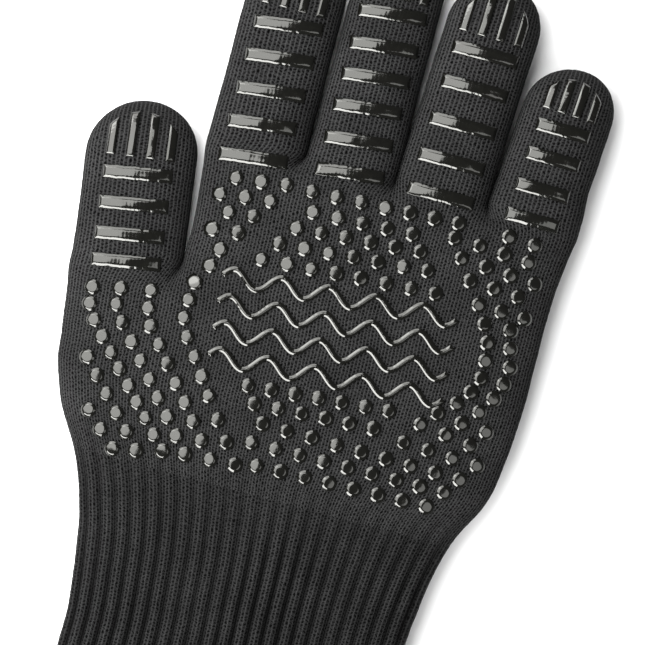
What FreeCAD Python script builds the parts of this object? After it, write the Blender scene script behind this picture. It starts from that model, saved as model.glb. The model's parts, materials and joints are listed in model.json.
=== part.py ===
import FreeCAD, Part
import math
import os
from collections import namedtuple

from FreeCAD import Vector

# A heat resistant glove lying flat with its silicone grip side up. Millimetres.
# +Y points to the fingertips, +X to the little finger, +Z out of the grip side. The floor is z = 0.

# ---- Driving dimensions ----------------------------------------------------------------------------------------
THICKNESS = 17.0          # the lofted glove, from its back on the floor to the grip side
EDGE_ROUND = 4.0          # rounding along every edge of the outer shell
KNIT_WALL = 1.8           # outer heat resistant knit
LINER_WALL = 1.2          # inner cotton layer
HEM_WALL = 3.8            # overlocked edge, where the two layers are sewn together
HEM_DEPTH = 6.5
MOUTH_Y = -158.0          # the open end of the cuff
CROTCH_Y = 80.0           # where the fingers leave the palm
CUT_GAP = 0.6             # clearance between two segments that bend against each other
WRIST_HINGE_Y = -47.0

SILICONE_HEIGHT = 1.0
BAR_DEPTH = 4.6
BAR_ROUND = 0.4
RIB_WIDTH = 3.0
RIB_MARGIN = 0.2          # kept between a rib's end and where the tip rounds off
RIB_GAP = 3.0             # between a finger's last bar and its tip ribs
DOT_RADIUS = 2.5
DOT_TOP_RADIUS = 2.1

WAVE_COUNT = 4            # wave-shaped grip ribs in the middle of the palm
WAVE_SPACING = 9.0
WAVE_HALF_PERIODS = 10
WAVE_HALF_PERIOD = 7.8
WAVE_AMPLITUDE = 2.4
WAVE_WIDTH = 2.2
WAVE_CENTRE = Vector(12.0, 22.5, 0.0)
WAVE_TILT = 5.0

# One finger: half its width, the centre of its round tip, its lean away from +Y (positive leans to +X), its two
# hinges (as y on its centre line), its silicone bars (as y) with their width and tilt, its tip ribs' pitch, and how
# far its tube runs from the tip's centre back into the palm.
Finger = namedtuple("Finger", "half tip_x tip_y lean hinges bars bar_width bar_tilt rib_pitch root_length")

FINGERS = {
    "thumb": Finger(18.7, -65.8, 64.8, -7.3, (33.4, 53.2), (29.0, 38.0, 48.2, 58.4), 23.5, 9.5, 6.7, 70.0),
    "index": Finger(16.6, -29.2, 130.0, 0.0, (90.2, 113.2), (73.5, 85.0, 96.4, 107.9, 119.2), 23.4, 6.5, 6.4, 60.0),
    "middle": Finger(15.4, 3.4, 142.6, 0.0, (93.0, 114.6), (76.9, 88.0, 99.2, 109.9, 120.6, 131.8), 23.4, 6.0, 6.1,
                     76.6),
    "ring": Finger(15.8, 37.1, 136.5, 2.4, (95.5, 121.0), (77.5, 89.4, 102.0, 115.0, 127.0), 23.0, 0.0, 6.4, 70.5),
    "pinky": Finger(15.4, 68.8, 115.4, 4.0, (93.4, 112.6), (77.5, 88.0, 99.0, 109.0), 18.5, -1.0, 5.2, 40.0),
}

# The palm's two sides, from the finger roots down to where the cuff runs straight.
LITTLE_FINGER_SIDE = ((82.9, CROTCH_Y), (81.3, 66.0), (80.2, 50.0), (80.1, 36.0), (80.3, 20.0), (79.7, 5.0),
                      (78.5, -6.0), (76.3, -18.0), (73.3, -24.5), (69.8, -30.0), (67.6, -36.0), (64.8, -48.0),
                      (63.0, -60.0), (62.0, -72.0), (61.7, -84.0))
THUMB_SIDE = ((-45.2, CROTCH_Y), (-44.4, 62.0), (-43.0, 40.0), (-48.0, 22.0), (-60.0, 11.0), (-72.5, 4.5),
              (-76.1, -3.0), (-75.4, -9.0), (-74.0, -13.0), (-71.9, -19.5), (-66.0, -30.0), (-62.4, -36.0),
              (-57.5, -48.0), (-54.0, -60.0), (-52.1, -72.0), (-50.4, -90.0))

# Rows of palm dots: first dot, last dot and how many, evenly spaced.
DOT_ROWS = {
    "dots_index_root": (
        ((-33.0, 65.5), (-16.0, 67.5), 3),
        ((-37.0, 59.0), (-20.0, 61.0), 3),
        ((-32.5, 54.0), (-24.0, 54.5), 2),
        ((-36.5, 47.0), (-27.5, 48.0), 2),
        ((-32.0, 41.0), (-34.0, 35.0), 2),
        ((-37.5, 28.5), (-37.7, 16.0), 3),
        ((-35.0, 10.0), (-23.0, -7.0), 4),
        ((-18.0, -14.0), (-8.5, -27.0), 3),
    ),
    "dots_upper_palm": (
        ((-7.2, 67.5), (42.8, 70.0), 7),
        ((-5.2, 61.0), (28.8, 62.5), 5),
        ((-9.2, 54.5), (32.8, 57.5), 6),
        ((-13.2, 48.0), (36.8, 52.0), 7),
        ((-17.7, 41.5), (41.3, 45.5), 8),
    ),
    "dots_outer_edge": (
        ((60.3, 70.0), (69.3, 69.5), 2),
        ((42.8, 65.0), (68.8, 63.5), 4),
        ((46.8, 59.0), (72.6, 57.0), 4),
        ((51.3, 52.5), (68.3, 51.5), 3),
        ((56.3, 45.5), (72.4, 45.0), 3),
        ((59.8, 40.0), (68.8, 40.0), 2),
        ((62.3, 34.0), (70.3, 34.0), 2),
        ((63.3, 28.0), (71.8, 28.0), 2),
        ((63.3, 22.0), (71.3, 22.0), 2),
        ((61.3, 16.8), (69.3, 16.5), 2),
        ((57.8, 12.0), (65.8, 11.0), 2),
        ((52.3, 7.0), (69.8, 5.0), 3),
        ((47.8, 2.0), (65.8, -0.5), 3),
    ),
    "dots_lower_palm": (
        ((-11.2, -0.5), (36.3, 3.5), 7),
        ((-7.6, -5.8), (32.9, -3.4), 6),
        ((43.8, -5.4), (69.7, -6.5), 4),
        ((-3.2, -11.5), (65.3, -12.5), 9),
        ((-5.2, -18.5), (61.3, -18.0), 9),
        ((-1.7, -25.5), (56.8, -24.0), 8),
    ),
    "dots_thumb_base": (
        ((-70.0, 18.0), (-69.5, 12.5), 2),
        ((-66.7, 7.5), (-33.2, -29.0), 9),
        ((-65.7, -5.0), (-41.7, -31.0), 6),
        ((-60.7, -22.0), (-49.7, -32.5), 3),
        ((-60.7, 20.0), (-60.7, 14.5), 2),
        ((-57.2, 9.0), (-25.7, -28.0), 8),
        ((-50.7, 22.0), (-50.2, 16.0), 2),
        ((-47.7, 10.5), (-17.2, -27.5), 8),
    ),
}

BIG = 500.0               # side of the boxes that cut the tubes
END_OVERRUN = 2.0         # how far an inner tube runs past an open end


# ---- Helpers ---------------------------------------------------------------------------------------------------
def slab(outline, inset):
    """Extrude a closed wire to the glove's lofted thickness, less inset on each face."""
    height = THICKNESS - 2.0 * inset
    solid = Part.Face(outline).extrude(Vector(0, 0, height))
    solid.translate(Vector(0, 0, inset))
    return solid


def round_rims(solid, inset, skip):
    """Round the edges that run along the top and bottom faces, except those for which skip is true."""
    low = inset
    high = THICKNESS - inset
    rims = []
    for edge in solid.Edges:
        box = edge.BoundBox
        flat = box.ZLength < 0.01
        on_face = abs(box.ZMin - low) < 0.01 or abs(box.ZMax - high) < 0.01
        if flat and on_face and not skip(box):
            rims.append(edge)
    return solid.makeFillet(EDGE_ROUND - inset, rims)


def beyond(point, lean):
    """A large box holding everything on the fingertip side of a plane that leans lean degrees."""
    box = Part.makeBox(BIG, BIG, BIG, Vector(-BIG / 2, 0, -BIG / 2))
    box.rotate(Vector(0, 0, 0), Vector(0, 0, 1), lean)
    box.translate(point)
    return box


def centre_line(finger, y):
    """The point of the finger's centre line at height y."""
    shift = (y - finger.tip_y) * math.tan(math.radians(finger.lean))
    return Vector(finger.tip_x + shift, y, 0)


def hinge_lean(name):
    """The thumb bends square to its tilted bars, and the fingers bend about +X."""
    if name == "thumb":
        return FINGERS[name].bar_tilt
    return 0.0


# ---- Knit tubes ------------------------------------------------------------------------------------------------
def finger_tube(finger, inset):
    """One whole finger as a filled tube: a strip with parallel sides and a round tip."""
    half = finger.half - inset
    root = -finger.root_length
    left_root = Vector(-half, root, 0)
    left_tip = Vector(-half, 0, 0)
    right_tip = Vector(half, 0, 0)
    right_root = Vector(half, root, 0)
    outline = Part.Wire([
        Part.LineSegment(left_root, left_tip).toShape(),
        Part.Arc(left_tip, Vector(0, half, 0), right_tip).toShape(),
        Part.LineSegment(right_tip, right_root).toShape(),
        Part.LineSegment(right_root, left_root).toShape(),
    ])
    tube = round_rims(slab(outline, inset), inset, lambda box: box.YMax < root + 0.01)
    tube.rotate(Vector(0, 0, 0), Vector(0, 0, 1), -finger.lean)
    tube.translate(Vector(finger.tip_x, finger.tip_y, 0))
    return tube


def inset_points(points, inset, side):
    """Move a side's points inwards, square to the side. side is +1 for the +X side and -1 for the -X side."""
    moved = []
    for i, (x, y) in enumerate(points):
        before = points[max(i - 1, 0)]
        after = points[min(i + 1, len(points) - 1)]
        run = Vector(after[0] - before[0], after[1] - before[1], 0).normalize()
        moved.append(Vector(x + side * run.y * inset, y - side * run.x * inset, 0))
    moved[0].y = points[0][1]
    return moved


def side_curve(points):
    """A smooth curve through a side's points that ends running straight down the cuff."""
    curve = Part.BSplineCurve()
    down = Vector(0, -1, 0)
    curve.interpolate(Points=points, InitialTangent=down, FinalTangent=down)
    return curve.toShape()


def palm_tube(inset, overrun):
    """Palm and cuff as one filled tube that ends overrun past the mouth and inset short of the finger roots."""
    right = inset_points(LITTLE_FINGER_SIDE, inset, 1)
    left = inset_points(THUMB_SIDE, inset, -1)
    top = CROTCH_Y - inset
    right[0].y = top
    left[0].y = top
    mouth = MOUTH_Y - overrun
    right_end = Vector(right[-1].x, mouth, 0)
    left_end = Vector(left[-1].x, mouth, 0)
    outline = Part.Wire([
        Part.LineSegment(left[0], right[0]).toShape(),
        side_curve(right),
        Part.LineSegment(right[-1], right_end).toShape(),
        Part.LineSegment(right_end, left_end).toShape(),
        Part.LineSegment(left_end, left[-1]).toShape(),
        side_curve(left),
    ])
    return round_rims(slab(outline, inset), inset, lambda box: box.YLength < 0.01)


def finger_stub(name, inset, overrun):
    """The root of one finger tube, up to its first hinge and overrun past it. It stays with the palm."""
    finger = FINGERS[name]
    stop = centre_line(finger, finger.hinges[0] - CUT_GAP / 2 + overrun)
    return finger_tube(finger, inset).cut(beyond(stop, hinge_lean(name)))


def hand(inset, overrun):
    """Palm, cuff and finger roots as one filled tube, with its open ends overrun past their places."""
    stubs = [finger_stub(name, inset, overrun) for name in FINGERS]
    return palm_tube(inset, overrun).fuse(stubs).removeSplitter()


def hand_layer(outside, inside):
    """One layer of the palm and cuff, between two insets, open at the mouth and at the finger roots."""
    return hand(outside, 0.0).cut(hand(inside, END_OVERRUN)).removeSplitter()


def finger_layer(name, outside, inside, index):
    """One layer of a finger segment, between two insets."""
    return finger_segment(name, outside, index).cut(finger_segment(name, inside, index)).removeSplitter()


def finger_segment(name, inset, index):
    """Segment 0 is the lower part of a finger and segment 1 is its tip."""
    finger = FINGERS[name]
    lean = hinge_lean(name)
    start = centre_line(finger, finger.hinges[index] + CUT_GAP / 2)
    segment = finger_tube(finger, inset).common(beyond(start, lean))
    if index == 0:
        stop = centre_line(finger, finger.hinges[1] - CUT_GAP / 2)
        segment = segment.cut(beyond(stop, lean))
    return segment


# ---- Silicone --------------------------------------------------------------------------------------------------
def bar(finger, y):
    """One flat bar across a finger, square to its printed tilt."""
    solid = Part.makeBox(finger.bar_width, BAR_DEPTH, SILICONE_HEIGHT,
                         Vector(-finger.bar_width / 2, -BAR_DEPTH / 2, 0))
    tops = [edge for edge in solid.Edges if edge.BoundBox.ZMin > SILICONE_HEIGHT - 0.01]
    solid = solid.makeFillet(BAR_ROUND, tops)
    solid.rotate(Vector(0, 0, 0), Vector(0, 0, 1), finger.bar_tilt)
    solid.translate(centre_line(finger, y) + Vector(0, 0, THICKNESS))
    return solid


def tip_rib(finger, place):
    """One of four ribs along a fingertip, cut off along a circle where the tip rounds off."""
    across = place * finger.rib_pitch
    flat = finger.half - EDGE_ROUND - RIB_MARGIN
    bottom = finger.bars[-1] + BAR_DEPTH / 2 + RIB_GAP - finger.tip_y
    solid = Part.makeBox(RIB_WIDTH, flat - bottom, SILICONE_HEIGHT, Vector(across - RIB_WIDTH / 2, bottom, 0))
    solid = solid.common(Part.makeCylinder(flat, SILICONE_HEIGHT))
    solid.rotate(Vector(0, 0, 0), Vector(0, 0, 1), -finger.lean)
    solid.translate(Vector(finger.tip_x, finger.tip_y, THICKNESS))
    return solid


def dot(x, y):
    """One low dome, flat on top."""
    return Part.makeCone(DOT_RADIUS, DOT_TOP_RADIUS, SILICONE_HEIGHT, Vector(x, y, THICKNESS))


def dot_group(rows):
    """All the dots of a region, as separate solids."""
    dots = []
    for (x0, y0), (x1, y1), count in rows:
        for i in range(count):
            share = i / (count - 1)
            dots.append(dot(x0 + share * (x1 - x0), y0 + share * (y1 - y0)))
    return dots


def wave_side(offset):
    """One side of a wave rib, as arcs that meet in line, offset from its centre line."""
    chord = WAVE_HALF_PERIOD
    radius = (chord ** 2 / 4 + WAVE_AMPLITUDE ** 2) / (2 * WAVE_AMPLITUDE)
    half_turn = math.asin(chord / 2 / radius)
    arcs = []
    for i in range(WAVE_HALF_PERIODS):
        up = 1 if i % 2 == 0 else -1
        x0 = (i - WAVE_HALF_PERIODS / 2) * chord
        start = Vector(x0 - up * offset * math.sin(half_turn), offset * math.cos(half_turn), 0)
        crest = Vector(x0 + chord / 2, up * WAVE_AMPLITUDE + offset, 0)
        end = Vector(x0 + chord + up * offset * math.sin(half_turn), offset * math.cos(half_turn), 0)
        arcs.append((start, crest, end))
    return arcs


def wave_rib(row):
    """One wave-shaped rib of the plain grip pattern in the middle of the palm."""
    upper = wave_side(WAVE_WIDTH / 2)
    lower = wave_side(-WAVE_WIDTH / 2)
    edges = [Part.Arc(a, b, c).toShape() for a, b, c in upper]
    edges.append(Part.LineSegment(upper[-1][2], lower[-1][2]).toShape())
    edges += [Part.Arc(c, b, a).toShape() for a, b, c in reversed(lower)]
    edges.append(Part.LineSegment(lower[0][0], upper[0][0]).toShape())
    solid = Part.Face(Part.Wire(edges)).extrude(Vector(0, 0, SILICONE_HEIGHT))
    solid.translate(Vector(0, (row - (WAVE_COUNT - 1) / 2) * WAVE_SPACING, 0))
    solid.rotate(Vector(0, 0, 0), Vector(0, 0, 1), WAVE_TILT)
    solid.translate(WAVE_CENTRE + Vector(0, 0, THICKNESS))
    return solid


# ---- Nodes -----------------------------------------------------------------------------------------------------
def split_at_wrist(shape):
    """The palm's share and the cuff's share of a layer, with a gap between them."""
    palm = shape.common(beyond(Vector(0, WRIST_HINGE_Y + CUT_GAP / 2, 0), 0))
    cuff = shape.cut(beyond(Vector(0, WRIST_HINGE_Y - CUT_GAP / 2, 0), 0))
    return palm, cuff


def hand_nodes():
    """Palm, cuff and hem, in two layers."""
    above_hem = beyond(Vector(0, MOUTH_Y + HEM_DEPTH, 0), 0)
    knit = hand_layer(0.0, KNIT_WALL).common(above_hem)
    liner = hand_layer(KNIT_WALL, KNIT_WALL + LINER_WALL).common(above_hem)
    palm_knit, cuff_knit = split_at_wrist(knit)
    palm_liner, cuff_liner = split_at_wrist(liner)
    hem = palm_tube(0.0, 0.0).cut(palm_tube(HEM_WALL, END_OVERRUN)).cut(above_hem)
    return {
        "palm_knit_shell": [palm_knit],
        "palm_liner": [palm_liner],
        "cuff_rib_knit": [cuff_knit],
        "cuff_liner": [cuff_liner],
        "cuff_hem": [hem],
    }


def finger_nodes(name):
    """Two hollow segments in two layers, and the silicone on each of them and on the root."""
    finger = FINGERS[name]
    nodes = {}
    for index, part in enumerate(("lower", "tip")):
        nodes[f"{name}_{part}_knit"] = [finger_layer(name, 0.0, KNIT_WALL, index)]
        nodes[f"{name}_{part}_liner"] = [finger_layer(name, KNIT_WALL, KNIT_WALL + LINER_WALL, index)]
    first, second = finger.hinges
    stretches = {"root": (0.0, first), "lower": (first, second), "tip": (second, finger.tip_y)}
    for part, (low, high) in stretches.items():
        bars = [bar(finger, y) for y in finger.bars if low < y < high]
        if bars:
            nodes[f"{name}_{part}_bars"] = bars
    nodes[f"{name}_tip_ribs"] = [tip_rib(finger, place) for place in (-1.5, -0.5, 0.5, 1.5)]
    return nodes


def all_nodes():
    nodes = hand_nodes()
    for name in FINGERS:
        nodes.update(finger_nodes(name))
    for name, rows in DOT_ROWS.items():
        nodes[name] = dot_group(rows)
    nodes["grip_wave_ribs"] = [wave_rib(row) for row in range(WAVE_COUNT)]
    return nodes


def main():
    os.makedirs("parts", exist_ok=True)
    for name, solids in all_nodes().items():
        shape = Part.makeCompound([solid for item in solids for solid in item.Solids])
        shape.exportStep(f"parts/{name}.step")
        print(name, len(shape.Solids), round(shape.Volume, 1), shape.isValid())


main()
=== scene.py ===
import json
import math
import random
from collections import namedtuple

import bpy
import numpy as np
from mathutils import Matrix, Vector, noise
from mathutils.bvhtree import BVHTree


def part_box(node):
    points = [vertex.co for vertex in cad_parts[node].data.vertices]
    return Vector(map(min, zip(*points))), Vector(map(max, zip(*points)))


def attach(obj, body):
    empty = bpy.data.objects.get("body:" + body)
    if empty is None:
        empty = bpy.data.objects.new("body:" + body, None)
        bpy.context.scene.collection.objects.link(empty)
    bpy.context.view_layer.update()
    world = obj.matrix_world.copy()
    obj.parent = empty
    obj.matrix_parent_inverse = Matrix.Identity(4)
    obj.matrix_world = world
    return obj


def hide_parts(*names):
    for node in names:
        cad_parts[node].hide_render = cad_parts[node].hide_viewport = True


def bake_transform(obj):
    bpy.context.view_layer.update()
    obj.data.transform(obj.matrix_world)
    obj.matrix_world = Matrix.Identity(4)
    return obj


# A heat resistant glove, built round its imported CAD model. Metres.
# +Y points to the fingertips, +X to the little finger and +Z out of the silicone grip side.
#
# The knit is one surface made of rows and columns, like the real thing: a column is one wale of
# stitches. Each row has a top half (the grip side) and a bottom half (the back), which meet at the
# glove's two sides. The surface is cut into pieces where one joint's bend ends and the next begins.

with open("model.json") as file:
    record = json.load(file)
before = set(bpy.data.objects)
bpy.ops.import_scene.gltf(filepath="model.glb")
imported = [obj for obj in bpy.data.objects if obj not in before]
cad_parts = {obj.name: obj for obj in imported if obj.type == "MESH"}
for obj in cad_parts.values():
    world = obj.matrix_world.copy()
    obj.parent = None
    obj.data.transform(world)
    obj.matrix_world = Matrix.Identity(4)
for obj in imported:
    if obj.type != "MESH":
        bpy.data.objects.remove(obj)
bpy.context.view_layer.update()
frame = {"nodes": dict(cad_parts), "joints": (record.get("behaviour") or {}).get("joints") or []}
JOINTS = {joint["name"]: joint for joint in frame["joints"]}

# ---- Driving values ----
FINGER_NAMES = ("thumb", "index", "middle", "ring", "pinky")
FOUR_FINGERS = FINGER_NAMES[1:]
CROTCH_Y = 0.080  # where the four fingers leave the palm
WEB_Y = 0.035  # where the thumb leaves the palm
THUMB_COLUMNS = 32
FINGER_COLUMNS = 28
COLUMNS = THUMB_COLUMNS + len(FOUR_FINGERS) * FINGER_COLUMNS
RIB_COLUMNS = 6  # columns in one rib of the cuff
ROW = 0.0011  # spacing of the surface's rows
COURSE = 0.00125  # height of one stitch
ROW_GROUP = 4  # every stretch has a multiple of this many rows

KNIT_WALL = 0.0017
LINER_GAP = 0.00015
LINER_WALL = 0.0011
LINER_STEP = 2  # the liner uses every second row and column

ROOT_EASE = 0.012  # how far a finger takes to reach its own width
VALLEY = 0.009  # how far the valleys between the fingers run down into the palm
WEB_VALLEY = 0.013  # the same for the valley beside the thumb
SLANT_RUN = 0.040  # how far below the web the rows start to slant up towards the thumb
TIP_POWER = 2.6  # bluntness of a fingertip seen from its side

RIB_TOP_Y = -0.018  # the ribs fade in from here
RIB_FULL_Y = -0.058  # to here
RIB_HEIGHT = 0.0014  # from the bottom of a groove to the top of a rib
RIB_CREST = 0.3  # the share of it that stands over the plain surface
RIB_BUNCH = 0.36  # how far the columns crowd into the grooves between ribs
GROOVE_POWER = 1.5  # above 1, the grooves are narrower than the ribs
CUFF_EASE = 0.05  # the palm's section turns into the cuff's over this length
CUFF_SPLIT_Y = -0.0340  # palm and cuff pieces meet here, just before the wrist bend

FINGER_BEND = 0.009  # a finger bends this far either side of its hinge
THUMB_BASE_BEND = (-0.0016, 0.0106)  # the thumb's first bend starts at its web

# Unevenness of the knit: heights, each with its waves to a metre. The two swells fade out between
# two heights over the floor, so that the back lies flat.
SWELLS = ((0.00045, 38.0), (0.00022, 95.0))
LOOSE_YARN = (0.0001, 700.0)
SWELL_FROM = 0.004
SWELL_FADE = 0.006

SINK = 0.00035  # how deep silicone sits in the knit
UNDERSIDE = 0.0003
BRIDGE = 0.0009  # silicone lies on the knit's height averaged this far around
BAR_STEP = 0.00042
EDGE_STEPS = 8  # steps over the rising edge of a piece of silicone
BAR_RAGGED = ((0.07, 420.0), (0.05, 1300.0))  # raggedness of a bar's long edges, and waves to a metre
RIPPLE = 0.000024  # the knit's wales show through a bar as ripples this high
RIPPLE_PITCH = 0.00125
UNEVEN = 0.00009  # slow unevenness of a bar's top
WAVE_WIDTH = 0.0022
WAVE_HALF_PERIODS = 10
WAVE_STEPS = 30  # steps in half a period
DOT_SEED = 11
DOT_GROWTH = (1.05, 1.13)  # a dot is between these times as wide as in the CAD
DOT_RINGS = 12
DOT_SIDES = 28
DOT_RAGGED = 0.05
DOT_UNEVEN = 0.00006
DOT_TILT = 0.05  # random tilt of single dots
DOT_LEAN = 0.055  # the palm bulges a little, so dots lean away from its crown
CROWN_X = 0.022
CROWN_REACH = 0.030
DOT_DOME = 0.0002  # how far a dot's top falls from its middle to its outline
SEED_SCALE = 900.0  # turns a piece's place into a seed far from its neighbours'

# How silicone rises from its outline: steeply over the side's width, then at a steady slope over the
# bevel's width, and easing into the flat top, at its full height over the knit, over the curve's.
Profile = namedtuple("Profile", "height side bevel curve slope")
BAR = Profile(0.00095, 0.0001, 0.00055, 0.0008, 0.64)
TIP_RIB = Profile(0.0010, 0.0001, 0.0004, 0.0004, 0.64)
DOT = Profile(0.00105, 0.0001, 0.0006, 0.00045, 0.66)
WAVE = Profile(0.0009, 0.0001, 0.0005, 0.0005, 0.62)

STITCH_DEPTH = 0.005  # overlock stitches reach this far from the mouth's edge
STITCH_SLANT = 0.75  # and this share of the way to the next stitch
STITCH_SQUARENESS = 0.6  # 1 makes the loops round, and less makes them square
STITCH_POINTS = 13
THREAD_RADIUS = 0.0003
THREAD_SIDES = 6
THREAD_LIFT = 0.0006  # the thread's middle stands this far off the knit's outside and edge

# A cross-section: height of the sides, rise of the top and its power, depth of the bottom and its
# power. The power is a superellipse's: 2 is an ellipse, and more is flatter with tighter corners.
Section = namedtuple("Section", "side top top_power bottom bottom_power")
PALM_SECTION = Section(0.0080, 0.0090, 3.3, 0.0078, 6.0)
CUFF_SECTION = Section(0.0080, 0.0080, 2.9, 0.0078, 4.0)
FINGER_SECTION = Section(0.0080, 0.0088, 2.25, 0.0078, 3.4)


# ---- Small helpers ----
def smooth(x):
    """0 below 0, 1 above 1 and a smooth step between them."""
    x = min(1.0, max(0.0, x))
    return x * x * (3.0 - 2.0 * x)


def mix(a, b, share):
    return a * (1.0 - share) + b * share


def plane_point(values):
    """The first two of an iterable's numbers, as an array."""
    return np.array((values[0], values[1]), float)


def waver(x, y, z):
    """Smooth noise from about -1 to 1. The callers' factors on places are waves to a metre, and the
    third number keeps one piece's noise apart from another's."""
    return noise.noise(Vector((x, y, z)))


def unit(vector):
    return vector / np.linalg.norm(vector)


def node_numbers(name, kind, field, size, number_type):
    """One field of all a CAD node's vertices or edges, with a row for each."""
    items = getattr(frame["nodes"][name].data, kind)
    numbers = np.empty(len(items) * size, number_type)
    items.foreach_get(field, numbers)
    return numbers.reshape(-1, size)


def node_points(name):
    return node_numbers(name, "vertices", "co", 3, float)


def node_edges(name):
    return node_numbers(name, "edges", "vertices", 2, int)


def row_count(length):
    """How many rows fill a length, as a multiple of ROW_GROUP."""
    return ROW_GROUP * max(1, round(length / ROW / ROW_GROUP))


# ---- Sizes read from the frame ----
Finger = namedtuple("Finger", "hinges along across half tip")
SOFTEN_REACH = 6  # steps of the glove's edge that are averaged on either side
END_GAP = 0.001  # the glove's edge is read this far from the mouth and from the fingers' roots
WEB_GAP = 0.003  # and this far from the thumb's web


def read_finger(name):
    """Hinges, directions, half width and the centre of the round tip, from the joints and the tip's
    CAD node."""
    base = JOINTS[f"{name}_base_bend"]
    hinges = [plane_point(base["pos_m"]), plane_point(JOINTS[f"{name}_middle_bend"]["pos_m"])]
    along = unit(hinges[1] - hinges[0])
    square = np.array((along[1], -along[0]))
    points = node_points(f"{name}_tip_knit")[:, :2] - hinges[0]
    half = np.abs(points @ square).max()
    reach = (points @ along).max()
    across = unit(plane_point(base["axis"]))
    return Finger(hinges, along, across, half, hinges[0] + along * (reach - half))


def edge_line(nodes, low, high, steps, side):
    """The glove's edge between two heights, as a function that gives its x for a y. side 0 is its lowest
    x and side 1 its highest. The steps are about 1 mm."""
    lines = np.concatenate([node_points(node)[node_edges(node)] for node in nodes])
    start = lines[:, 0]
    end = lines[:, 1]
    drop = end[:, 1] - start[:, 1]
    heights = np.linspace(low, high, steps)
    edge = []
    for y in heights:
        hit = (start[:, 1] - y) * (end[:, 1] - y) <= 0.0
        hit &= np.abs(drop) > 1e-9
        if not hit.any():  # the clearance between two bodies
            edge.append(edge[-1])
            continue
        share = (y - start[hit, 1]) / drop[hit]
        found = mix(start[hit, 0], end[hit, 0], share)
        edge.append(found.max() if side else found.min())
    edge = soften(np.array(edge))
    return lambda y: np.interp(y, heights, edge)


def soften(values):
    """Round off the corners of a list of evenly spaced values."""
    weights = np.hanning(2 * SOFTEN_REACH + 3)[1:-1]
    padded = np.pad(values, SOFTEN_REACH, mode="reflect", reflect_type="odd")
    return np.convolve(padded, weights / weights.sum(), mode="valid")


FINGERS = {name: read_finger(name) for name in FINGER_NAMES}
THUMB = FINGERS["thumb"]
MOUTH_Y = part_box("cuff_hem")[0].y
HEM_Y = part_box("cuff_hem")[1].y
HAND_NODES = ("palm_knit_shell", "cuff_rib_knit", "cuff_hem")

hand_left = edge_line(HAND_NODES, MOUTH_Y + END_GAP, WEB_Y - WEB_GAP, 190, 0)
bare_palm_left = edge_line(("palm_knit_shell",), WEB_Y + WEB_GAP, CROTCH_Y - END_GAP, 42, 0)
hand_right = edge_line(HAND_NODES, MOUTH_Y + END_GAP, CROTCH_Y - END_GAP, 236, 1)


def thumb_web():
    """Where the thumb's right side reaches the web, and the centre of the thumb's root row through
    that point."""
    rise = WEB_Y - THUMB.hinges[0][1] - THUMB.across[1] * THUMB.half
    centre = THUMB.hinges[0] + THUMB.along * rise / THUMB.along[1]
    return centre + THUMB.across * THUMB.half, centre


WEB, THUMB_ROOT = thumb_web()
SLANT = 2.0 * THUMB.half * THUMB.across[1]


def palm_left(y):
    return mix(WEB[0], bare_palm_left(y), smooth((y - WEB_Y) / ROOT_EASE))


# ---- Rows of the surface ----
ARCH_SAMPLES = 300


def arch(half, rise, power, columns, bunch):
    """Half a superellipse from its left end over its top to its right end, and its length. The columns
    are even along it, or crowd towards the grooves of the ribs where bunch is above 0."""
    turn = np.linspace(math.pi, 0.0, ARCH_SAMPLES)
    across = half * np.sign(np.cos(turn)) * np.abs(np.cos(turn)) ** (2.0 / power)
    height = rise * np.clip(np.sin(turn), 0.0, 1.0) ** (2.0 / power)
    height[[0, -1]] = 0.0
    run = np.concatenate(([0.0], np.cumsum(np.hypot(np.diff(across), np.diff(height)))))
    column = np.arange(columns + 1)
    column = column - bunch * np.sin(2.0 * math.pi * column / RIB_COLUMNS)
    place = np.clip(column / columns, 0.0, 1.0) * run[-1]
    return np.interp(place, run, across), np.interp(place, run, height), run[-1]


def tube_row(middle, direction, half, section, columns, scale=1.0, bunch=0.0):
    """One row of a tube, as an array of top and bottom halves, and the length of its top half."""
    row = np.empty((2, columns + 1, 3))
    halves = (
        (section.top * scale, section.top_power, 1.0),
        (section.bottom * scale, section.bottom_power, -1.0),
    )
    lengths = []
    for index, (rise, power, sign) in enumerate(halves):
        across, height, length = arch(half, rise, power, columns, bunch)
        row[index, :, :2] = middle + across[:, None] * direction
        row[index, :, 2] = section.side + sign * height
        lengths.append(length)
    return row, lengths[0]


def row_between(left, right, section, columns, bunch=0.0):
    half = np.linalg.norm(right - left) / 2.0
    return tube_row((left + right) / 2.0, unit(right - left), half, section, columns, bunch=bunch)[0]


def joined(rows):
    """Rows side by side, which share their end points."""
    parts = [rows[0]] + [row[:, 1:] for row in rows[1:]]
    return np.concatenate(parts, axis=1)


def finger_columns(name):
    return THUMB_COLUMNS if name == "thumb" else FINGER_COLUMNS


def root_edges(name):
    """The two side points of a finger's root row. Neighbours share theirs."""
    if name == "thumb":
        return THUMB_ROOT - THUMB.across * THUMB.half, WEB
    order = FOUR_FINGERS.index(name)
    edges = [palm_left(CROTCH_Y)]
    for left, right in zip(FOUR_FINGERS, FOUR_FINGERS[1:]):
        edges.append((finger_side(left, 1.0) + finger_side(right, -1.0)) / 2.0)
    edges.append(hand_right(CROTCH_Y))
    return np.array((edges[order], CROTCH_Y)), np.array((edges[order + 1], CROTCH_Y))


def root_centre(name):
    """Where a finger's centre line crosses its root row."""
    finger = FINGERS[name]
    if name == "thumb":
        return THUMB_ROOT
    return finger.hinges[0] + finger.along * (CROTCH_Y - finger.hinges[0][1]) / finger.along[1]


def finger_side(name, side):
    """The x of a finger's own side at its root row."""
    return root_centre(name)[0] + side * FINGERS[name].half


def root_row(name):
    left, right = root_edges(name)
    return row_between(left, right, FINGER_SECTION, finger_columns(name))


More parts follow.
